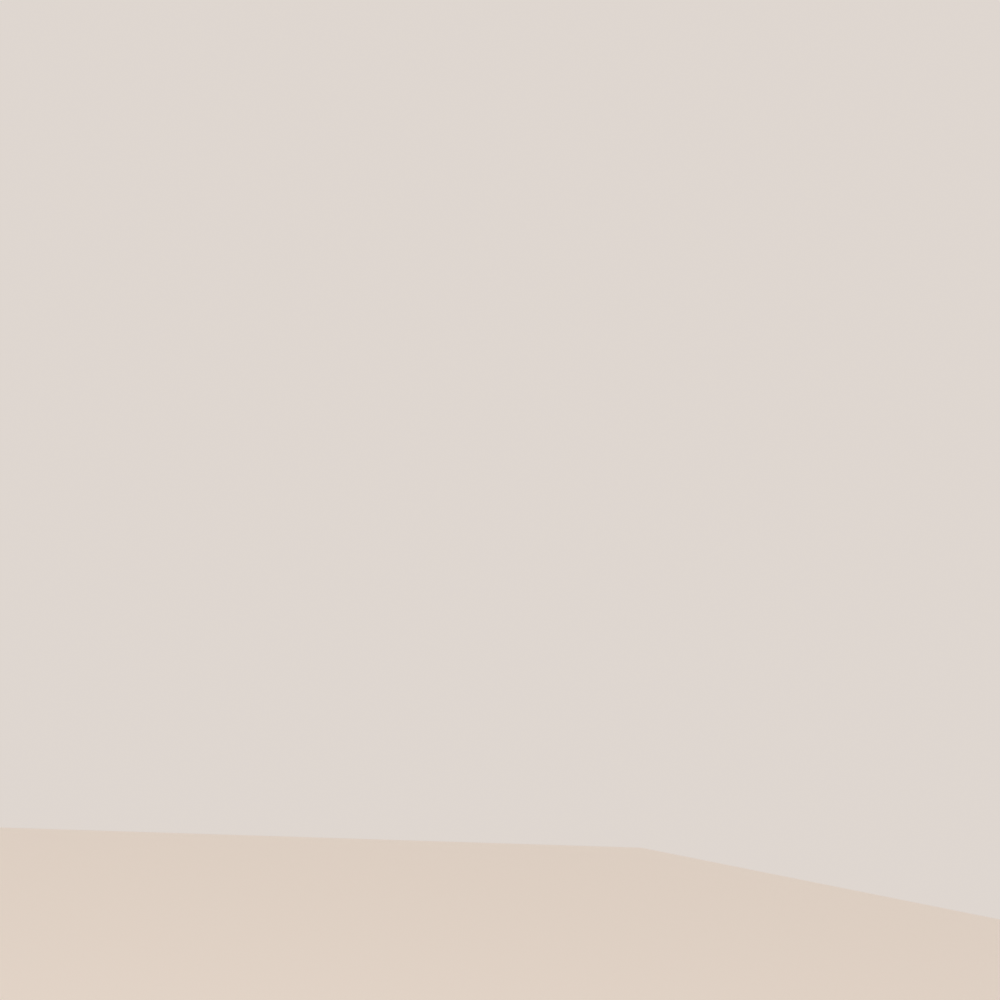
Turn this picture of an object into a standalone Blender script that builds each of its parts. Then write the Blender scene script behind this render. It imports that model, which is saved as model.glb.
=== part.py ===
"""A renaissance lute with seven courses, built in Blender as the separate pieces it is made of.

The origin is the middle of the nut's front edge, in the plane of the fingerboard and the soundboard. +Z runs along
the neck towards the nut and -Z towards the tail, the front faces -Y, and +X is the treble side. Units are metres.
"""

import math

import bmesh
import bpy
from mathutils import Matrix, Vector

# Clearances between neighbours
GAP = 0.0003  # a glued seam or a seat
PEG_CLEARANCE = 0.00035  # between a peg and its hole
COIL_CLEARANCE = 0.0005  # between a peg and the string wound on it
COIL_SPACING = 0.0006  # between neighbouring turns of a string
STRING_SEAT = 0.00035  # between a string and what it bears on

# Driving sizes
STRING_LENGTH = 0.600  # nut to bridge
NECK_LENGTH = 0.235  # nut to the body
BODY_LENGTH = 0.450  # neck joint to the tail
BODY_WIDTH = 0.309
BOWL_DEPTH = 0.1455  # behind the edge of the ribs
NUT_WIDTH = 0.0604
JOINT_WIDTH = 0.0756  # of the body where the neck meets it
JOINT_DEPTH = 0.027
PLATE = 0.0022  # soundboard, edging and fingerboard


def material(name, colour, roughness, metallic=0.0):
    """One Principled material, made once."""
    found = bpy.data.materials.get(name)
    if found:
        return found
    made = bpy.data.materials.new(name)
    made.use_nodes = True
    shader = made.node_tree.nodes["Principled BSDF"]
    shader.inputs["Base Color"].default_value = (*colour, 1.0)
    shader.inputs["Roughness"].default_value = roughness
    shader.inputs["Metallic"].default_value = metallic
    made.diffuse_color = (*colour, 1.0)
    return made


def spruce():
    return material("spruce", (0.80, 0.48, 0.22), 0.45)


def light_maple():
    return material("light_maple", (0.86, 0.72, 0.46), 0.3)


def dark_rib_wood():
    return material("dark_rib_wood", (0.03, 0.022, 0.018), 0.25)


def ebony():
    return material("ebony", (0.012, 0.011, 0.011), 0.3)


def pearwood():
    return material("pearwood", (0.70, 0.36, 0.17), 0.45)


def bone():
    return material("bone", (0.87, 0.80, 0.55), 0.35)


def gut():
    return material("gut", (0.82, 0.74, 0.58), 0.5)


def wound_copper():
    return material("wound_copper", (0.66, 0.33, 0.22), 0.35, 0.6)


def add_object(name, bm, look, smooth_angle=None):
    """Puts a finished bmesh in the scene as one object with its faces pointing out."""
    bmesh.ops.recalc_face_normals(bm, faces=bm.faces)
    mesh = bpy.data.meshes.new(name)
    bm.to_mesh(mesh)
    bm.free()
    if smooth_angle:
        mesh.shade_smooth()
        mesh.set_sharp_from_angle(angle=math.radians(smooth_angle))
    thing = bpy.data.objects.new(name, mesh)
    bpy.context.scene.collection.objects.link(thing)
    mesh.materials.append(look)
    return thing


def loft_into(bm, rings):
    """Skins a closed tube through rings of equal length and closes both ends."""
    rows = [[bm.verts.new(p) for p in ring] for ring in rings]
    for low, high in zip(rows, rows[1:]):
        count = len(low)
        for i in range(count):
            j = (i + 1) % count
            bm.faces.new((low[i], low[j], high[j], high[i]))
    bm.faces.new(rows[0])
    bm.faces.new(rows[-1])


def loft(name, rings, look, smooth_angle=None):
    bm = bmesh.new()
    loft_into(bm, rings)
    return add_object(name, bm, look, smooth_angle)


def plate_into(bm, outline, front, back):
    """A flat plate: an outline of (x, z) points between two depths in Y."""
    loft_into(bm, [[Vector((x, y, z)) for x, z in outline] for y in (front, back)])


def box_into(bm, low, high):
    outline = [(low[0], low[2]), (high[0], low[2]), (high[0], high[2]), (low[0], high[2])]
    plate_into(bm, outline, low[1], high[1])


def boolean(thing, bm, operation, name):
    """Cuts a helper mesh from an object, or joins it to the object. The helper stays hidden."""
    helper = add_object(name, bm, ebony())
    helper.hide_render = True
    helper.display_type = "WIRE"
    step = thing.modifiers.new(name, "BOOLEAN")
    step.operation = operation
    step.object = helper
    step.solver = "EXACT"


def fret_z(number):
    """Equal-tempered place of a fret below the nut."""
    return -STRING_LENGTH * (1.0 - 2.0 ** (-number / 12.0))


# The body's shape: its outline in the plane of the soundboard, and the depth of its middle rib
TAIL_Z = -(NECK_LENGTH + BODY_LENGTH)
TAIL_ARC_RADIUS = 0.348
TAIL_ARC_ANGLE = math.radians(7.8)
SIDE_ARC_TIGHTNESS = 0.006  # how much tighter the lower side is than an arc to the full width
BOWL_ARC_TIGHTNESS = 0.0035
JOINT_HOLLOW = 0.40  # how far the sections narrow to a V at the neck
HOLLOW_LENGTH = 0.095  # the stretch of the bowl in which they do
BOWL_FRONT = PLATE + GAP


class ArcChain:
    """Tangent arcs from the tail to the neck, each a centre and radius in (z, half width)."""

    def __init__(self, start_arcs, full_width, end_half):
        self.arcs = list(start_arcs)  # each (centre z, centre r, radius, angle from, angle to)
        centre_z, centre_r, radius, start = self.arcs.pop()
        shoulder, bend = self.fit_shoulder(centre_z, centre_r, radius, full_width, end_half)
        self.arcs.append((centre_z, centre_r, radius, start, bend))
        reach = shoulder - radius
        new_z = centre_z + math.cos(bend) * reach
        new_r = centre_r - math.sin(bend) * reach
        end = math.pi - math.acos((-NECK_LENGTH - new_z) / shoulder)
        self.arcs.append((new_z, new_r, shoulder, bend, end))

    @staticmethod
    def fit_shoulder(centre_z, centre_r, radius, full_width, end_half):
        """Radius of the shoulder arc that gives the full width and ends at the neck joint."""

        def miss(shoulder):
            reach = shoulder - radius
            sine = (centre_r + shoulder - full_width) / reach
            cosine = math.sqrt(max(0.0, 1.0 - sine * sine))
            new_z = centre_z + cosine * reach
            new_r = centre_r - sine * reach
            return math.hypot(-NECK_LENGTH - new_z, end_half - new_r) - shoulder, math.asin(sine)

        low = radius * 1.2
        high = radius * 60.0
        for _ in range(80):
            middle = 0.5 * (low + high)
            if miss(middle)[0] > 0.0:
                low = middle
            else:
                high = middle
        return middle, miss(middle)[1]

    def length(self):
        return sum(radius * (end - start) for _, _, radius, start, end in self.arcs)

    def along(self, distance, inset=0.0):
        """Point (z, half width) at a distance along the chain, moved inwards by the inset."""
        for centre_z, centre_r, radius, start, end in self.arcs:
            stretch = radius * (end - start)
            last = centre_z is self.arcs[-1][0]
            if distance <= stretch or last:
                angle = start + distance / radius
                reach = radius - inset
                return centre_z - reach * math.cos(angle), centre_r + reach * math.sin(angle)
            distance -= stretch

    def at(self, z, inset=0.0):
        """Half width at a height, with the chain moved inwards by the inset."""
        for centre_z, centre_r, radius, _, end in self.arcs:
            reach = radius - inset
            last = centre_z is self.arcs[-1][0]
            if z <= centre_z - reach * math.cos(end) or last:
                return centre_r + math.sqrt(max(0.0, reach * reach - (centre_z - z) ** 2))


def body_outline():
    half = BODY_WIDTH / 2.0
    tail_sine = math.sin(TAIL_ARC_ANGLE)
    side = (half - TAIL_ARC_RADIUS * tail_sine) / (1.0 - tail_sine) - SIDE_ARC_TIGHTNESS
    reach = TAIL_ARC_RADIUS - side
    tail_centre = TAIL_Z + TAIL_ARC_RADIUS
    tail = (tail_centre, 0.0, TAIL_ARC_RADIUS, 0.0, TAIL_ARC_ANGLE)
    side_arc = (tail_centre - reach * math.cos(TAIL_ARC_ANGLE), reach * tail_sine, side, TAIL_ARC_ANGLE)
    return ArcChain([tail, side_arc], half, JOINT_WIDTH / 2.0)


def bowl_profile():
    radius = BOWL_DEPTH - BOWL_ARC_TIGHTNESS
    return ArcChain([(TAIL_Z + radius, 0.0, radius, 0.0)], BOWL_DEPTH, JOINT_DEPTH)


OUTLINE = body_outline()
PROFILE = bowl_profile()


def power_at(z):
    """1 for an elliptical section, more where it narrows to a V at the neck."""
    share = min(1.0, max(0.0, (z + NECK_LENGTH + HOLLOW_LENGTH) / HOLLOW_LENGTH))
    return 1.0 + JOINT_HOLLOW * share * share


def section_point(half, depth, power, angle, z):
    """A point of a section at an angle from the treble edge round the back."""
    cosine = math.cos(angle)
    across = math.copysign(abs(cosine) ** power, cosine) * half
    return Vector((across, BOWL_FRONT + depth * max(0.0, math.sin(angle)) ** power, z))


def bowl_point(distance, angle, outward=0.0):
    """A point of the bowl's surface, at a distance along the outline from the tail, moved out along its normal."""

    def surface(along, turn):
        z, half = OUTLINE.along(along)
        return section_point(half, PROFILE.at(z), power_at(z), turn, z)

    point = surface(distance, angle)
    if outward == 0.0:
        return point
    step = 0.0002
    turn = 0.002
    edge = 0.06
    safe = min(math.pi - edge, max(edge, angle))
    along = surface(distance + step, safe) - surface(distance - step, safe)
    round_ = surface(distance, safe + turn) - surface(distance, safe - turn)
    normal = round_.cross(along).normalized()
    if angle in (0.0, math.pi):
        normal.y = 0.0
        normal.normalize()
    return point + normal * outward


# Bowl: thirteen bent ribs, light and dark in turn, glued edge to edge
RIB_COUNT = 13
RIB_THICKNESS = 0.0016
EDGE_RIB_ANGLE = math.radians(12.6)  # the ribs next to the soundboard are planed narrower
RIB_START = 0.008  # distance from the tail point at which the ribs are cut
RIB_STATIONS = 20


def rib_seams():
    """Angles of the seams round the bowl, from the treble edge to the bass edge."""
    middle = (math.pi - 2.0 * EDGE_RIB_ANGLE) / (RIB_COUNT - 2)
    inner = [EDGE_RIB_ANGLE + middle * i for i in range(RIB_COUNT - 1)]
    return [0.0, *inner, math.pi]


def rib_distances():
    """Stations along the outline, closer together where the tail bends most."""
    reach = OUTLINE.length()
    end = reach - GAP
    steps = [RIB_START + (end - RIB_START) * (i / RIB_STATIONS) ** 1.15 for i in range(RIB_STATIONS + 1)]
    return steps


def make_ribs():
    seams = rib_seams()
    for number in range(RIB_COUNT):
        first, last = seams[number], seams[number + 1]
        rings = []
        for distance in rib_distances():
            corners = []
            for outward in (0.0, -RIB_THICKNESS):
                start = bowl_point(distance, first, outward)
                end = bowl_point(distance, last, outward)
                trim = (end - start).normalized() * GAP / 2.0
                if first > 0.0:
                    start = start + trim
                if last < math.pi:
                    end = end - trim
                corners.append((start, end))
            (a, b), (c, d) = corners
            rings.append([a, b, d, c])
        look = light_maple() if number % 2 == 0 else dark_rib_wood()
        loft(f"rib_{number + 1:02d}", rings, look, 20)


# End clasp: a thin leaf of maple bent over the tips of the ribs at the tail
CLASP_THICKNESS = 0.0012
CLASP_REACH = 0.042
CLASP_EDGE = math.radians(4.0)


def make_end_clasp():
    seams = rib_seams()
    angles = [CLASP_EDGE]
    for first, last in zip(seams, seams[1:]):
        angles += [0.5 * (first + last), last]
    angles[-1] = math.pi - CLASP_EDGE
    rings = []
    for share in (0.03, 0.25, 0.5, 0.75, 1.0):
        distance = CLASP_REACH * share
        outer = [bowl_point(distance, a, GAP + CLASP_THICKNESS) for a in angles]
        inner = [bowl_point(distance, a, GAP) for a in reversed(angles)]
        rings.append(outer + inner)
    loft("end_clasp", rings, light_maple(), 30)


# Strap button, turned from pear, seated on the clasp below the edge
BUTTON_Y = 0.0125
BUTTON_HEIGHT = 0.0078
BUTTON_RADIUS = 0.0062
BUTTON_NECK_RADIUS = 0.0036
BUTTON_SIDES = 16


def make_strap_button():
    clasp_face = TAIL_Z + (BUTTON_Y - BOWL_FRONT) ** 2 / (2.0 * (BOWL_DEPTH - BOWL_ARC_TIGHTNESS))
    seat = clasp_face - GAP - CLASP_THICKNESS - GAP
    profile = [
        (BUTTON_NECK_RADIUS + 0.0012, 0.0),
        (BUTTON_NECK_RADIUS, 0.0015),
        (BUTTON_NECK_RADIUS, 0.0030),
        (BUTTON_RADIUS - 0.0006, 0.0042),
        (BUTTON_RADIUS, 0.0052),
        (BUTTON_RADIUS - 0.0004, 0.0066),
        (BUTTON_RADIUS - 0.0022, BUTTON_HEIGHT),
    ]
    rings = []
    for radius, drop in profile:
        turn = [2.0 * math.pi * i / BUTTON_SIDES for i in range(BUTTON_SIDES)]
        rings.append([Vector((radius * math.cos(t), BUTTON_Y + radius * math.sin(t), seat - drop)) for t in turn])
    loft("strap_button", rings, pearwood(), 40)


# Edging: a black strip let into the front edge of the body
EDGING_WIDTH = 0.0028
EDGING_STEPS = 56


def outline_points(inset, end_z, steps=EDGING_STEPS):
    """Right half of the outline, moved inwards, from the tail up to a height."""
    points = []
    for i in range(steps + 1):
        z, half = OUTLINE.along(OUTLINE.length() * i / steps, inset)
        if z < end_z - 0.002:
            points.append((half, z))
    points.append((OUTLINE.at(end_z, inset), end_z))
    return points


POINT_CORNER_Z = -NECK_LENGTH - 0.001  # lower outer corner of the fingerboard
EDGING_TOP = POINT_CORNER_Z - GAP


def make_edging():
    outer = outline_points(0.0, EDGING_TOP)
    inner = outline_points(EDGING_WIDTH, EDGING_TOP)
    outer = [(-x, z) for x, z in reversed(outer[1:])] + outer
    inner = [(-x, z) for x, z in reversed(inner[1:])] + inner
    rings = []
    for (ox, oz), (ix, iz) in zip(outer, inner):
        rings.append([Vector((ox, 0.0, oz)), Vector((ox, PLATE, oz)), Vector((ix, PLATE, iz)), Vector((ix, 0.0, iz))])
    loft("edging", rings, ebony(), 20)


# Neck, with the block that it stands on inside the bowl
NECK_NUT_DEPTH = 0.018
NECK_NUT_HOLLOW = 0.2
BLOCK_LENGTH = 0.028
BLOCK_CLEARANCE = 0.0022  # to the ribs, all round


def neck_half(z):
    """Half the width of neck and fingerboard, which taper evenly to the body."""
    at_joint = JOINT_WIDTH / 2.0 - 0.001
    return NUT_WIDTH / 2.0 + (at_joint - NUT_WIDTH / 2.0) * (-z / NECK_LENGTH)


def neck_depth(z):
    return NECK_NUT_DEPTH + (JOINT_DEPTH - NECK_NUT_DEPTH) * max(0.0, -z / NECK_LENGTH) ** 1.5


def neck_power(z):
    return 1.0 + NECK_NUT_HOLLOW + (JOINT_HOLLOW - NECK_NUT_HOLLOW) * max(0.0, -z / NECK_LENGTH)


def neck_ring(z, grow=0.0):
    angles = []
    seams = rib_seams()
    for first, last in zip(seams, seams[1:]):
        angles += [first, 0.5 * (first + last)]
    angles.append(math.pi)
    return [section_point(neck_half(z) + grow, neck_depth(z) + grow, neck_power(z), a, z) for a in angles]


def block_ring(distance):
    """A section of the block, which follows the flat inner faces of the ribs."""
    inside = -(RIB_THICKNESS + BLOCK_CLEARANCE)
    corners = [bowl_point(distance, a, inside) for a in rib_seams()]
    level = corners[0].z
    ring = []
    for first, last in zip(corners, corners[1:]):
        ring += [first, 0.5 * (first + last)]
    ring.append(corners[-1])
    return [Vector((p.x, p.y, level)) for p in ring]


def make_neck():
    shoulder = NECK_LENGTH - GAP
    rings = [neck_ring(NECK_END - (NECK_END + shoulder) * i / 6) for i in range(7)]
    reach = OUTLINE.length()
    joint = block_ring(reach)
    rings.append([Vector((p.x, p.y, -NECK_LENGTH)) for p in joint])
    rings += [block_ring(reach - BLOCK_LENGTH * share) for share in (0.5, 1.0)]
    neck = loft("neck", rings, light_maple(), 35)
    bm = bmesh.new()
    room = [(PEGBOX_START - GAP, -0.05), (0.12, -0.05), (0.12, PEGBOX_NUT_HEIGHT + GAP)]
    room.append((PEGBOX_START - GAP, PEGBOX_NUT_HEIGHT + GAP))
    loft_into(bm, [[pegbox_point(x, s, d) for s, d in room] for x in (-NUT_WIDTH, NUT_WIDTH)])
    boolean(neck, bm, "DIFFERENCE", "pegbox_seat_cut")


# Fingerboard of ebony, with the two points that run down on to the soundboard
POINT_INNER_HALF = 0.0252
POINT_TIP_HALF = 0.0285
POINT_NOTCH_HALF = 0.0333
POINT_LENGTH = 0.017
FINGERBOARD_END = fret_z(8) - 0.0005


def make_fingerboard():
    tip_z = FINGERBOARD_END - POINT_LENGTH
    right = [
        (POINT_INNER_HALF, FINGERBOARD_END),
        (POINT_TIP_HALF, tip_z),
        (POINT_NOTCH_HALF, POINT_CORNER_Z),
        (neck_half(POINT_CORNER_Z), POINT_CORNER_Z),
        (neck_half(-GAP), -GAP),
    ]
    left = [(-x, z) for x, z in reversed(right)]
    bm = bmesh.new()
    plate_into(bm, right + left, 0.0, PLATE)
    add_object("fingerboard", bm, ebony())


# Soundboard of spruce, with its inner bars and the four wooden frets glued on it
BAR_PLACES = (0.285, 0.325, 0.360, 0.476, 0.517, 0.562)  # below the nut
BAR_WIDTH = 0.005
BAR_DEPTH = 0.014
BAR_SHORT = 0.007  # between a bar's end and the ribs
BODY_FRET_RIGHT = 0.0372
BODY_FRET_LEFTS = (-0.0182, -0.0037, 0.0038, 0.0162)
BODY_FRET_WIDTH = 0.0016
BODY_FRET_HEIGHT = 0.0010
ROSE_RADIUS = 0.0485
ROSE_Z = -0.418
ROSE_SIDES = 60


def circle(radius, sides, centre_z=0.0, centre_x=0.0, start=0.0):
    turns = [start + 2.0 * math.pi * i / sides for i in range(sides)]
    return [(centre_x + radius * math.cos(t), centre_z + radius * math.sin(t)) for t in turns]


def make_soundboard():
    inset = EDGING_WIDTH + GAP
    side_top = POINT_CORNER_Z - GAP
    right = outline_points(inset, side_top)
    right += [
        (POINT_NOTCH_HALF, side_top),
        (POINT_TIP_HALF - GAP / 3.0, FINGERBOARD_END - POINT_LENGTH - 1.5 * GAP),
        (POINT_INNER_HALF - GAP, FINGERBOARD_END - GAP),
    ]
    left = [(-x, z) for x, z in reversed(right[1:])]
    bm = bmesh.new()
    plate_into(bm, right + left, 0.0, PLATE)
    board = add_object("soundboard", bm, spruce())
    fixed = bmesh.new()
    bury = 0.0004
    for place in BAR_PLACES:
        half = OUTLINE.at(-place) - RIB_THICKNESS - BAR_SHORT
        low = PLATE - bury
        deep = PLATE + BAR_DEPTH
        scoop = BAR_DEPTH * 2.0
        ends = [(half, low), (half - scoop, deep), (-half + scoop, deep), (-half, low)]
        rings = [[Vector((x, y, -place + side * BAR_WIDTH / 2.0)) for x, y in ends] for side in (-1, 1)]
        loft_into(fixed, rings)
    for number, left_end in zip(range(9, 13), BODY_FRET_LEFTS):
        z = fret_z(number)
        low = (left_end, -BODY_FRET_HEIGHT, z - BODY_FRET_WIDTH / 2.0)
        high = (BODY_FRET_RIGHT, bury, z + BODY_FRET_WIDTH / 2.0)
        box_into(fixed, low, high)
    boolean(board, fixed, "UNION", "bars_and_body_frets")
    hole = bmesh.new()
    plate_into(hole, circle(ROSE_RADIUS + GAP, ROSE_SIDES, ROSE_Z), -0.01, 0.05)
    boolean(board, hole, "DIFFERENCE", "rose_hole")


# Rose: a pierced disc of straight interlaced bands inside a ring of small windows
ROSE_WINDOWS = 54
WINDOW_RING_RADIUS = 0.0448
WINDOW_SIZE = 0.0027
BAND_SPACING = 0.013  # between parallel bands
BAND_WIDTH = 0.0026
BAND_FIELD_RADIUS = 0.0420


def cell_cut(corner_count, centre, size, turn):
    """Corners of one opening between the bands."""
    angles = [turn + 2.0 * math.pi * i / corner_count for i in range(corner_count)]
    return [(centre[0] + size * math.cos(a), centre[1] + size * math.sin(a)) for a in angles]


def rose_openings():
    """Openings of the rose in its own plane: the ring of windows, then the cells between three sets of bands."""
    openings = []
    for i in range(ROSE_WINDOWS):
        turn = 2.0 * math.pi * i / ROSE_WINDOWS
        middle = (WINDOW_RING_RADIUS * math.cos(turn), WINDOW_RING_RADIUS * math.sin(turn))
        openings.append(cell_cut(4, middle, WINDOW_SIZE / math.sqrt(2.0), turn + math.pi / 4.0))
    edge = BAND_SPACING / math.sqrt(3.0)
    hexagon = 2.0 * (BAND_SPACING / 2.0 - BAND_WIDTH / 2.0) / math.sqrt(3.0)
    triangle = 2.0 * (edge * math.sqrt(3.0) / 6.0 - BAND_WIDTH / 2.0)
    reach = 4
    for i in range(-reach, reach + 1):
        for j in range(-reach, reach + 1):
            x = 2.0 * edge * (i + j / 2.0)
            z = 2.0 * edge * j * math.sqrt(3.0) / 2.0
            if math.hypot(x, z) + hexagon < BAND_FIELD_RADIUS:
                openings.append(cell_cut(6, (x, z), hexagon, 0.0))
            for side in (1, -1):
                tx = x + edge
                tz = z + side * edge / math.sqrt(3.0)
                if math.hypot(tx, tz) + triangle < BAND_FIELD_RADIUS:
                    openings.append(cell_cut(3, (tx, tz), triangle, side * math.pi / 2.0))
    return openings


def make_rose():
    bm = bmesh.new()
    plate_into(bm, circle(ROSE_RADIUS, ROSE_SIDES, ROSE_Z), 0.0, PLATE)
    rose = add_object("rose", bm, spruce())
    cutters = bmesh.new()
    for opening in rose_openings():
        plate_into(cutters, [(x, ROSE_Z + z) for x, z in opening], -0.002, PLATE + 0.002)
    boolean(rose, cutters, "DIFFERENCE", "rose_openings")


# Nut of bone at the end of the fingerboard
NUT_DEPTH = 0.0038
NUT_RISE = 0.0018  # above the fingerboard
NECK_END = 0.0030


def make_nut():
    bm = bmesh.new()
    half = NUT_WIDTH / 2.0
    back = NUT_DEPTH - 0.0006
    section = [(-NUT_RISE, 0.0), (-NUT_RISE, back), (-NUT_RISE + 0.0012, NUT_DEPTH), (PLATE, NUT_DEPTH), (PLATE, 0.0)]
    loft_into(bm, [[Vector((x, y, z)) for y, z in section] for x in (-half, half)])
    add_object("nut", bm, bone())


# Pegbox, bent back from the neck: two cheeks on a carved back that ends in a block
PEGBOX_ANGLE = math.radians(79.0)  # between the neck and the pegbox
PEGBOX_LENGTH = 0.189
PEGBOX_TIP_WIDTH = 0.0266
PEGBOX_NUT_WIDTH = 0.0590
PEGBOX_NUT_HEIGHT = 0.0195
PEGBOX_TIP_HEIGHT = 0.0122
PEGBOX_RISE = 0.0024  # of its open top above the nut's front edge
PEGBOX_START = 0.0062
CHEEK_THICKNESS = 0.0042
BACK_THICKNESS = 0.0026
TIP_BLOCK_LENGTH = 0.009
PANEL_MARGIN = 0.0042
PANEL_SINK = 0.0008
HOLE_SIDES = 12


def pegbox_point(x, along, depth):
    """A point in the pegbox: along it from the nut, and down from its open top."""
    sine = math.sin(PEGBOX_ANGLE)
    cosine = math.cos(PEGBOX_ANGLE)
    y = along * sine + depth * cosine
    z = PEGBOX_RISE + along * cosine - depth * sine
    return Vector((x, y, z))


def pegbox_half(along):
    share = along / PEGBOX_LENGTH
    return 0.5 * (PEGBOX_NUT_WIDTH + (PEGBOX_TIP_WIDTH - PEGBOX_NUT_WIDTH) * share)


def pegbox_height(along):
    share = along / PEGBOX_LENGTH
    return PEGBOX_NUT_HEIGHT + (PEGBOX_TIP_HEIGHT - PEGBOX_NUT_HEIGHT) * share


def make_cheek(name, side):
    rings = []
    for along in (PEGBOX_START, PEGBOX_LENGTH):
        outer = side * pegbox_half(along)
        inner = side * (pegbox_half(along) - CHEEK_THICKNESS)
        foot = pegbox_height(along) - BACK_THICKNESS - GAP
        corners = [(outer, 0.0), (outer, foot), (inner, foot), (inner, 0.0)]
        rings.append([pegbox_point(x, along, depth) for x, depth in corners])
    cheek = loft(name, rings, light_maple())
    holes = bmesh.new()
    for peg in PEGS:
        radius = peg.radius_at(side * peg.side * pegbox_half(peg.along)) + PEG_CLEARANCE
        middle = side * (pegbox_half(peg.along) - CHEEK_THICKNESS / 2.0)
        loft_into(holes, [round_ring(peg, middle + reach, radius, HOLE_SIDES) for reach in (-0.006, 0.006)])
    boolean(cheek, holes, "DIFFERENCE", name + "_holes")


def round_ring(peg, x, radius, sides):
    """A circle about a peg's axis."""
    turns = [2.0 * math.pi * i / sides for i in range(sides)]
    centre = peg.centre()
    return [Vector((x, centre.y + radius * math.cos(t), centre.z + radius * math.sin(t))) for t in turns]


def back_ring(along, inset, deep, shallow):
    half = pegbox_half(along) - inset
    corners = [(half, deep), (-half, deep), (-half, shallow), (half, shallow)]
    return [pegbox_point(x, along, depth) for x, depth in corners]


def make_pegbox_back():
    rings = []
    for along in (PEGBOX_START, PEGBOX_LENGTH):
        height = pegbox_height(along)
        rings.append(back_ring(along, 0.0, height, height - BACK_THICKNESS))
    back = loft("pegbox_back", rings, light_maple())
    block = bmesh.new()
    rings = []
    for along in (PEGBOX_LENGTH - TIP_BLOCK_LENGTH, PEGBOX_LENGTH):
        floor = pegbox_height(along) - BACK_THICKNESS + 0.0005
        rings.append(back_ring(along, CHEEK_THICKNESS + GAP, floor, 0.0))
    loft_into(block, rings)
    boolean(back, block, "UNION", "tip_block")
    panel = bmesh.new()
    rings = []
    for along in (PEGBOX_START + 0.010, PEGBOX_LENGTH - TIP_BLOCK_LENGTH):
        height = pegbox_height(along)
        rings.append(back_ring(along, PANEL_MARGIN, height + 0.002, height - PANEL_SINK))
    loft_into(panel, rings)
    boolean(back, panel, "DIFFERENCE", "carved_panel_sink")


# Tuning pegs: seven with their heads on the bass side and six on the treble side, in turn
PEG_COUNT = 13
FIRST_PEG = 0.028  # from the nut along the pegbox
PEG_PITCH = 0.0117
PEG_RADIUS = 0.0039  # where it enters the cheek on its head's side
PEG_TAPER = 0.0008  # how much less the radius is at the other cheek
PEG_STUB = 0.0025
PEG_STEM = 0.0105  # from the cheek to the collar
HEAD_LENGTH = 0.0225
HEAD_WIDTH = 0.0212
HEAD_THICKNESS = 0.0042
PEG_SIDES = 10
HEAD_TURNS = (35, 8, 60, 12, 15, 38, 80, 76, 25, 48, 55, 14, 30)  # degrees, as they were left after tuning


class Peg:
    """One tuning peg, from the nut end of the pegbox."""

    def __init__(self, index):
        self.number = index + 1
        self.along = FIRST_PEG + PEG_PITCH * index
        self.side = -1 if index % 2 == 0 else 1
        self.turn = math.radians(HEAD_TURNS[index])

    def centre(self):
        return pegbox_point(0.0, self.along, self.depth())

    def depth(self):
        return 0.5 * (pegbox_height(self.along) - BACK_THICKNESS)

    def radius_at(self, reach):
        """Radius at a distance from the middle, positive towards the head."""
        share = (pegbox_half(self.along) - reach) / (2.0 * pegbox_half(self.along))
        return PEG_RADIUS - PEG_TAPER * share

    def sections(self):
        """(distance from the middle, half width, half thickness) from the small end to the head's end."""
        half = pegbox_half(self.along)
        thin = self.radius_at(-half)
        thick = self.radius_at(half)
        collar = half + PEG_STEM
        head = collar + 0.0050
        width = HEAD_WIDTH / 2.0
        flat = HEAD_THICKNESS / 2.0
        return [
            (-half - PEG_STUB, thin - 0.0006, thin - 0.0006),
            (-half - PEG_STUB + 0.0006, thin, thin),
            (half, thick, thick),
            (collar - 0.0010, thick, thick),
            (collar, thick + 0.0012, thick + 0.0012),
            (collar + 0.0018, thick + 0.0010, thick + 0.0010),
            (collar + 0.0032, 0.0034, 0.0032),
            (head + 0.10 * HEAD_LENGTH, 0.62 * width, 1.15 * flat),
            (head + 0.32 * HEAD_LENGTH, 0.96 * width, flat),
            (head + 0.58 * HEAD_LENGTH, width, 0.88 * flat),
            (head + 0.84 * HEAD_LENGTH, 0.74 * width, 0.76 * flat),
            (head + HEAD_LENGTH, 0.26 * width, 0.5 * flat),
        ]

    def build(self):
        """The peg about its own axis, with its origin on it."""
        axis = Matrix.Rotation(self.turn, 4, "X")
        rings = []
        for reach, wide, thick in self.sections():
            turns = [2.0 * math.pi * i / PEG_SIDES for i in range(PEG_SIDES)]
            ring = [Vector((self.side * reach, thick * math.cos(t), wide * math.sin(t))) for t in turns]
            rings.append([axis @ p for p in ring])
        peg = loft(f"peg_{self.number:02d}", rings, ebony(), 35)
        peg.location = self.centre()


PEGS = [Peg(i) for i in range(PEG_COUNT)]


# Bridge of pear with pointed wings, and its facing of ebony
BRIDGE_FRONT = -STRING_LENGTH + 0.0015
BRIDGE_FOOT = 0.018  # along the soundboard
BRIDGE_TOP = 0.0108
BRIDGE_HEIGHT = 0.008
CAP_HALF = 0.0502
CAP_THICKNESS = 0.0014
WING_HALF = 0.0795


def bridge_ring(x, front_drop, foot, height):
    """A section of the bridge: upright in front, sloping to the tail."""
    front = BRIDGE_FRONT - front_drop
    slope = (BRIDGE_FOOT - BRIDGE_TOP) * height / BRIDGE_HEIGHT
    corners = [(front, 0.0), (front, height), (front - foot + slope, height), (front - foot, 0.0)]
    return [Vector((x, -GAP - up, z)) for z, up in corners]


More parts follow.
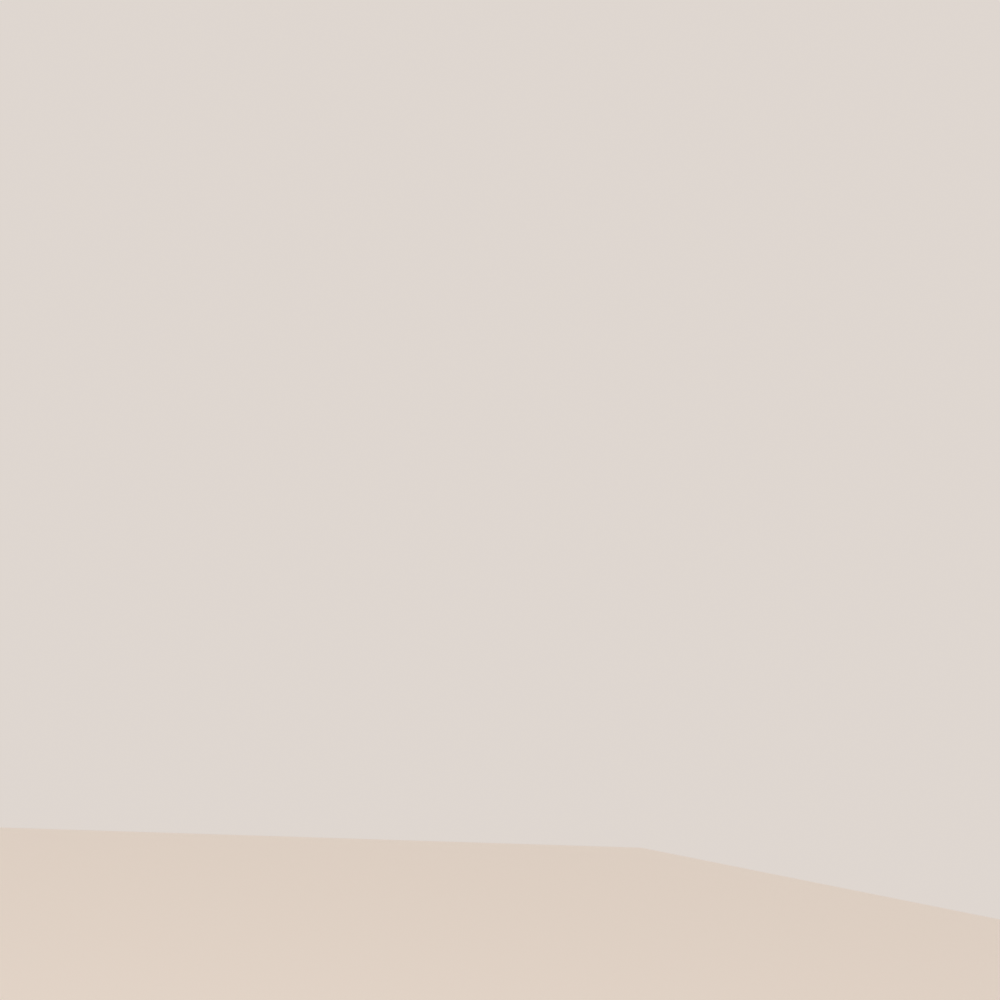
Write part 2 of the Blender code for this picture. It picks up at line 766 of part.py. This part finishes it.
def make_bridge():
    end = CAP_HALF + GAP
    wing = WING_HALF - end
    half = [
        (end, 0.0, BRIDGE_FOOT, BRIDGE_HEIGHT),
        (end + 0.18 * wing, 0.0022, BRIDGE_FOOT - 0.0026, 0.74 * BRIDGE_HEIGHT),
        (end + 0.50 * wing, 0.0062, BRIDGE_FOOT - 0.0076, 0.58 * BRIDGE_HEIGHT),
        (WING_HALF, 0.0100, 0.0040, 0.42 * BRIDGE_HEIGHT),
    ]
    rings = [bridge_ring(-x, drop, foot, height) for x, drop, foot, height in reversed(half)]
    rings += [bridge_ring(x, drop, foot, height) for x, drop, foot, height in half]
    loft("bridge", rings, pearwood())
    low = -GAP - BRIDGE_HEIGHT - GAP
    bm = bmesh.new()
    box_into(bm, (-CAP_HALF, low - CAP_THICKNESS, BRIDGE_FRONT - BRIDGE_TOP), (CAP_HALF, low, BRIDGE_FRONT))
    add_object("bridge_cap", bm, ebony())


# Gut frets, each a loop of gut tied tight round the neck
FRET_COUNT = 8
FRET_RADIUS = 0.00045


def grown_section(z, grow):
    """The neck and fingerboard's outline at a height, moved outwards."""
    ring = neck_ring(z)
    half = neck_half(z)
    points = [(half, 0.0)] + [(p.x, p.y) for p in ring[::2]] + [(-half, 0.0)]
    grown = []
    count = len(points)
    for i, (x, y) in enumerate(points):
        before = Vector(points[i - 1])
        here = Vector((x, y))
        after = Vector(points[(i + 1) % count])
        first = (here - before).normalized()
        second = (after - here).normalized()
        bisector = Vector((first.y + second.y, -first.x - second.x)).normalized()
        stretch = 1.0 / max(0.5, bisector.dot(Vector((first.y, -first.x))))
        grown.append(here + bisector * grow * stretch)
    return grown


def tube(name, points, radius, look, closed=False, sides_level=1):
    """A cord: a poly curve through the points with a round bevel."""
    curve = bpy.data.curves.new(name, "CURVE")
    curve.dimensions = "3D"
    curve.bevel_depth = radius
    curve.bevel_resolution = sides_level
    curve.use_fill_caps = not closed
    spline = curve.splines.new("POLY")
    spline.points.add(len(points) - 1)
    for slot, point in zip(spline.points, points):
        slot.co = (*point, 1.0)
    spline.use_cyclic_u = closed
    curve.materials.append(look)
    thing = bpy.data.objects.new(name, curve)
    bpy.context.scene.collection.objects.link(thing)
    return thing


def make_frets():
    for number in range(1, FRET_COUNT + 1):
        z = fret_z(number)
        points = [Vector((p.x, p.y, z)) for p in grown_section(z, GAP + FRET_RADIUS)]
        tube(f"fret_{number}", points, FRET_RADIUS, gut(), closed=True, sides_level=0)


# Strings: six double courses and a single treble, tied over the bridge and wound on the pegs
COURSE_PITCH_NUT = 0.00827
COURSE_PITCH_BRIDGE = 0.01415
PAIR_PITCH_NUT = 0.0024
PAIR_PITCH_BRIDGE = 0.0043
TREBLE_X_NUT = 0.0226
TREBLE_X_BRIDGE = 0.0395
STRING_HEIGHT_BRIDGE = 0.0062  # above the soundboard
TIE_HOLE_UP = 0.0042  # of the tie holes' ends above the soundboard, on the bridge's tail slope
COIL_TURNS = 2.5
COIL_POINTS = 9  # for each turn
COURSE_RADII = (
    (0.00035,),
    (0.00040, 0.00040),
    (0.00045, 0.00045),
    (0.00050, 0.00050),
    (0.00060, 0.00040),
    (0.00070, 0.00045),
    (0.00080, 0.00050),
)
LOW_COURSES = 5  # from this course on, the first string of a pair is wound with copper


class LuteString:
    """One string: its name, thickness, places at nut and bridge, and its peg."""

    def __init__(self, course, letter, radius, offset):
        self.name = f"string_{course}{letter}"
        self.radius = radius
        self.nut_x = TREBLE_X_NUT - COURSE_PITCH_NUT * (course - 1) + offset * PAIR_PITCH_NUT
        self.bridge_x = TREBLE_X_BRIDGE - COURSE_PITCH_BRIDGE * (course - 1) + offset * PAIR_PITCH_BRIDGE
        self.wound = course >= LOW_COURSES and letter == "a"
        self.peg = None
        self.start_x = 0.0

    def bridge_points(self):
        """From the tie hole's end up the tail slope, over the facing and down in front."""
        clear = STRING_SEAT + self.radius
        diagonal = clear * 0.75
        cap_top = -(2.0 * GAP + BRIDGE_HEIGHT + CAP_THICKNESS)
        cap_back = BRIDGE_FRONT - BRIDGE_TOP
        slope = (BRIDGE_FOOT - BRIDGE_TOP) / BRIDGE_HEIGHT
        tie_z = BRIDGE_FRONT - BRIDGE_FOOT + slope * TIE_HOLE_UP
        return [
            Vector((self.bridge_x, -GAP - TIE_HOLE_UP - diagonal, tie_z - diagonal)),
            Vector((self.bridge_x, cap_top + CAP_THICKNESS - diagonal, cap_back - diagonal * 1.2)),
            Vector((self.bridge_x, cap_top - diagonal, cap_back - diagonal * 0.6)),
            Vector((self.bridge_x, cap_top - clear, cap_back + 0.0010)),
            Vector((self.bridge_x, cap_top - clear, BRIDGE_FRONT - 0.0010)),
            Vector((self.bridge_x, cap_top - diagonal * 0.5, BRIDGE_FRONT + diagonal)),
            Vector((self.bridge_x, cap_top + CAP_THICKNESS, BRIDGE_FRONT + clear)),
            Vector((self.bridge_x, -STRING_HEIGHT_BRIDGE, BRIDGE_FRONT + clear + 0.0008)),
        ]

    def nut_points(self):
        clear = STRING_SEAT + self.radius
        top = -NUT_RISE - clear
        return [
            Vector((self.nut_x, top, 0.0004)),
            Vector((self.nut_x, top, NUT_DEPTH - 0.0010)),
            Vector((self.nut_x, top + 0.0005, NUT_DEPTH + 0.4 * clear)),
            Vector((self.nut_x, top + 0.0016, NUT_DEPTH + clear)),
        ]

    def coil_points(self):
        """Turns round the peg, starting where the string comes in over the top of the shank."""
        peg = self.peg
        start_x = self.start_x
        wind_radius = peg.radius_at(peg.side * start_x) + COIL_CLEARANCE + self.radius
        pitch = 2.0 * self.radius + COIL_SPACING
        exit_point = self.nut_points()[-1]
        centre = peg.centre()
        away = Vector((exit_point.y - centre.y, exit_point.z - centre.z))
        tangent = math.atan2(away.y, away.x) - math.acos(wind_radius / away.length)
        steps = round(COIL_TURNS * COIL_POINTS)
        points = []
        for i in range(steps + 1):
            turn = tangent - 2.0 * math.pi * i / COIL_POINTS
            x = start_x + peg.side * pitch * i / COIL_POINTS
            y = centre.y + wind_radius * math.cos(turn)
            z = centre.z + wind_radius * math.sin(turn)
            points.append(Vector((x, y, z)))
        return points

    def build(self):
        points = self.bridge_points() + self.nut_points() + self.coil_points()
        look = wound_copper() if self.wound else gut()
        tube(self.name, points, self.radius, look)
        return COIL_SPACING


COIL_INWARD = 0.0015  # how far from the middle the coils are kept, each towards its peg's head
STRING_PASSING = 0.0004  # between a coil and a string that passes it


def lute_strings():
    strings = []
    for course, radii in enumerate(COURSE_RADII, start=1):
        if len(radii) == 1:
            strings.append(LuteString(course, "", radii[0], 0.0))
        else:
            strings.append(LuteString(course, "b", radii[1], 0.5))
            strings.append(LuteString(course, "a", radii[0], -0.5))
    return strings


def coil_start(string, further):
    """Where a coil starts: outside the strings that go on to further pegs, and inside its cheek."""
    side = string.peg.side
    start = COIL_INWARD
    for other in further:
        share = string.peg.along / other.peg.along
        line = side * (other.nut_x + (other.start_x - other.nut_x) * share)
        start = max(start, line + other.radius + string.radius + STRING_PASSING)
    width = COIL_TURNS * (2.0 * string.radius + COIL_SPACING) + string.radius
    room = pegbox_half(string.peg.along) - CHEEK_THICKNESS - width - STRING_PASSING
    return min(start, room)


def share_out_pegs(strings):
    """The outermost strings go to the nearest pegs on their own side, the middle ones to the furthest."""
    treble_pegs = [peg for peg in PEGS if peg.side > 0]
    bass_pegs = [peg for peg in PEGS if peg.side < 0]
    bass_strings = strings[::-1]
    bass_strings[:2] = bass_strings[1::-1]  # the outermost goes over its neighbour's peg, and doesn't cross it
    for side_strings, side_pegs in ((strings, treble_pegs), (bass_strings, bass_pegs)):
        placed = []
        for string, peg in reversed(list(zip(side_strings, side_pegs))):
            string.peg = peg
            string.start_x = peg.side * coil_start(string, placed)
            placed.append(string)


def make_strings():
    strings = lute_strings()
    share_out_pegs(strings)
    gaps = [string.build() for string in strings]
    print(f"least gap between neighbouring turns of a string: {min(gaps) * 1000:.2f} mm")


def main():
    for old in list(bpy.data.objects):
        bpy.data.objects.remove(old)
    make_ribs()
    make_end_clasp()
    make_strap_button()
    make_edging()
    make_neck()
    make_fingerboard()
    make_soundboard()
    make_rose()
    make_nut()
    make_cheek("pegbox_treble_cheek", 1)
    make_cheek("pegbox_bass_cheek", -1)
    make_pegbox_back()
    for peg in PEGS:
        peg.build()
    make_bridge()
    make_frets()
    make_strings()


main()
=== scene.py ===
import math

import bpy
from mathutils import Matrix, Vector


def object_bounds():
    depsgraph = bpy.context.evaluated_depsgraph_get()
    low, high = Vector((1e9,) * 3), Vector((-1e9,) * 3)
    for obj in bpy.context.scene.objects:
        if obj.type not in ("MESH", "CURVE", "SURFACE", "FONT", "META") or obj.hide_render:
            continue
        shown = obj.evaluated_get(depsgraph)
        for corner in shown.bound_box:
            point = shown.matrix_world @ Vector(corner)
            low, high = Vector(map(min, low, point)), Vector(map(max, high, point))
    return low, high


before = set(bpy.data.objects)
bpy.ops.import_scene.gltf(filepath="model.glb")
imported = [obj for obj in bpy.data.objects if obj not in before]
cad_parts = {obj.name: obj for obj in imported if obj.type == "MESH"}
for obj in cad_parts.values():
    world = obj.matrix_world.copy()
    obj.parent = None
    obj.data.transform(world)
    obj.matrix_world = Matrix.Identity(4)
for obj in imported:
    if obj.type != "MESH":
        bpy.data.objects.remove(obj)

cad_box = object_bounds()

# Camera
# It stands where the photograph was taken from, level with the tail of the lute and off its treble side.
camera_data = bpy.data.cameras.new("camera")
camera_data.lens = 53.63
camera_data.sensor_width = 36.0
camera = bpy.data.objects.new("camera", camera_data)
bpy.context.scene.collection.objects.link(camera)
camera_right = Vector((0.62833, 0.77099, 0.10386))
camera_up = Vector((0.04083, -0.16600, 0.98528))
camera_back = Vector((0.77688, -0.61484, -0.13578))
camera.location = (1.0247, -0.76328, -0.52409)
for row in range(3):
    for column, direction in enumerate((camera_right, camera_up, camera_back)):
        camera.matrix_world[row][column] = direction[row]
bpy.context.scene.camera = camera


# Woods
# Each is one quarter-sawn or flamed board with its grain along the neck, under a thin varnish.
def wood(name, pale, dark, roughness, across, along, bump):
    """Grain as noise stretched along Z, in two tones."""
    made = bpy.data.materials.new(name)
    made.use_nodes = True
    nodes = made.node_tree.nodes
    links = made.node_tree.links
    shader = nodes["Principled BSDF"]
    shader.inputs["Roughness"].default_value = roughness
    place = nodes.new("ShaderNodeTexCoord")
    stretch = nodes.new("ShaderNodeMapping")
    stretch.inputs["Scale"].default_value = (across, across, along)
    noise = nodes.new("ShaderNodeTexNoise")
    noise.inputs["Scale"].default_value = 1.0
    noise.inputs["Detail"].default_value = 6.0
    ramp = nodes.new("ShaderNodeValToRGB")
    ramp.color_ramp.elements[0].position = 0.3
    ramp.color_ramp.elements[0].color = (*dark, 1.0)
    ramp.color_ramp.elements[1].position = 0.7
    ramp.color_ramp.elements[1].color = (*pale, 1.0)
    relief = nodes.new("ShaderNodeBump")
    relief.inputs["Strength"].default_value = bump
    relief.inputs["Distance"].default_value = 0.0002
    links.new(place.outputs["Object"], stretch.inputs["Vector"])
    links.new(stretch.outputs["Vector"], noise.inputs["Vector"])
    links.new(noise.outputs["Fac"], ramp.inputs["Fac"])
    links.new(ramp.outputs["Color"], shader.inputs["Base Color"])
    links.new(noise.outputs["Fac"], relief.inputs["Height"])
    links.new(relief.outputs["Normal"], shader.inputs["Normal"])
    return made


def dress(name, look):
    """Gives a CAD node its finish."""
    slots = bpy.data.objects[name].material_slots
    for slot in slots:
        slot.material = look


spruce = wood("spruce", (0.80, 0.48, 0.23), (0.68, 0.37, 0.16), 0.45, 900.0, 12.0, 0.15)
flamed_maple = wood("flamed_maple", (0.87, 0.73, 0.47), (0.78, 0.60, 0.34), 0.22, 40.0, 260.0, 0.05)
plain_maple = wood("plain_maple", (0.62, 0.46, 0.27), (0.52, 0.37, 0.20), 0.35, 300.0, 20.0, 0.1)
dark_wood = wood("dark_wood", (0.035, 0.026, 0.022), (0.02, 0.015, 0.013), 0.2, 300.0, 20.0, 0.05)
ebony = wood("ebony", (0.022, 0.02, 0.02), (0.010, 0.009, 0.009), 0.32, 600.0, 20.0, 0.1)
pear = wood("pear", (0.74, 0.38, 0.18), (0.62, 0.29, 0.12), 0.42, 400.0, 200.0, 0.1)
bone = wood("bone", (0.86, 0.78, 0.52), (0.80, 0.70, 0.44), 0.35, 200.0, 60.0, 0.05)
gut = wood("gut", (0.80, 0.72, 0.54), (0.68, 0.58, 0.40), 0.45, 500.0, 500.0, 0.1)
copper = wood("copper", (0.62, 0.32, 0.22), (0.50, 0.24, 0.16), 0.35, 50.0, 4000.0, 0.3)

for number in range(1, 14):
    dress(f"rib_{number:02d}", flamed_maple if number % 2 else dark_wood)
    dress(f"peg_{number:02d}", ebony)
for number in range(1, 9):
    dress(f"fret_{number}", gut)
for name in ("string_1", "string_2a", "string_2b", "string_3a", "string_3b", "string_4a", "string_4b"):
    dress(name, gut)
for course in (5, 6, 7):
    dress(f"string_{course}a", copper)
    dress(f"string_{course}b", gut)
for name in ("neck", "pegbox_treble_cheek", "pegbox_bass_cheek", "pegbox_back"):
    dress(name, plain_maple)
for name in ("soundboard", "rose"):
    dress(name, spruce)
for name in ("edging", "fingerboard", "bridge_cap"):
    dress(name, ebony)
dress("bridge", pear)
dress("strap_button", pear)
dress("end_clasp", flamed_maple)
dress("nut", bone)


# Studio
# A pale floor well below the lute, an even world and two soft lamps.
def plain(name, colour):
    made = bpy.data.materials.new(name)
    made.use_nodes = True
    made.node_tree.nodes["Principled BSDF"].inputs["Base Color"].default_value = (*colour, 1.0)
    made.node_tree.nodes["Principled BSDF"].inputs["Roughness"].default_value = 0.9
    return made


bpy.ops.mesh.primitive_plane_add(size=12.0, location=(0.0, 0.0, cad_box[0][2] - 0.002))
floor = bpy.context.object
floor.name = "floor"
floor.data.materials.append(plain("floor", (0.97, 0.9, 0.83)))
world = bpy.data.worlds.new("studio")
world.use_nodes = True
world.node_tree.nodes["Background"].inputs["Color"].default_value = (0.98, 0.9, 0.84, 1.0)
world.node_tree.nodes["Background"].inputs["Strength"].default_value = 0.75
bpy.context.scene.world = world
for name, place, power, size in (
    ("key", (1.2, -2.0, 1.2), 40.0, 1.5),
    ("fill", (2.0, 1.2, 0.4), 15.0, 2.0),
):
    lamp = bpy.data.lights.new(name, "AREA")
    lamp.energy = power
    lamp.size = size
    holder = bpy.data.objects.new(name, lamp)
    holder.location = place
    aim = Vector((0.0, 0.0, -0.35)) - Vector(place)
    holder.rotation_euler = aim.to_track_quat("-Z", "Y").to_euler()
    bpy.context.scene.collection.objects.link(holder)
bpy.context.scene.view_settings.view_transform = "Standard"
